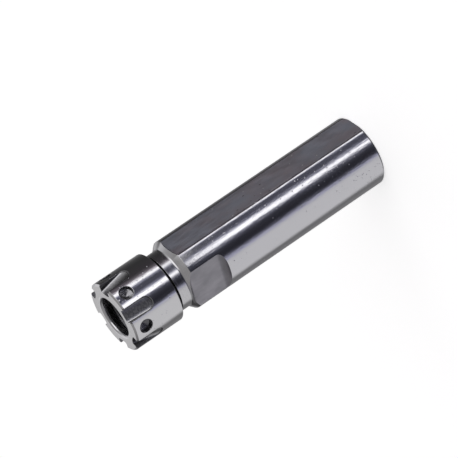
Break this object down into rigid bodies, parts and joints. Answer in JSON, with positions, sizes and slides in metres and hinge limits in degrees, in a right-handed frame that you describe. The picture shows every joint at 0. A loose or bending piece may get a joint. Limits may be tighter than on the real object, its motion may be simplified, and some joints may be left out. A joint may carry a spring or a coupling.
{
  "type": "collet chuck extension",
  "caption": "Straight-shank collet chuck extension: a slim round body with clamping and wrench flats, an internal collet taper and a slotted round clamping nut.",
  "frame": {"origin": "centre of the shank's rear face, where it stands", "axes": "+Z along the chuck's axis from the rear face to the nut's face; -Y is the outward normal of the clamping flat"},
  "size_m": [0.016, 0.0159, 0.0653],
  "materials": {
    "chuck_body": "hardened steel, cylindrically ground, with finely ground flats",
    "clamping_nut": "hardened steel, polished outside, turned face",
    "backup_screw": "black-oxide steel"
  },
  "bodies": {
    "chuck": {"chuck_body": "chuck_body"},
    "nut": {"clamping_nut": "clamping_nut"},
    "stop": {"backup_screw": "backup_screw"}
  },
  "joints": [
    {"name": "nut_turn", "type": "hinge", "parent": "chuck", "child": "nut", "pos_m": [0, 0, 0.0564], "axis": [0, 0, 1], "continuous": true},
    {"name": "stop_turn", "type": "hinge", "parent": "chuck", "child": "stop", "pos_m": [0, 0, 0.021], "axis": [0, 0, 1], "continuous": true}
  ]
}
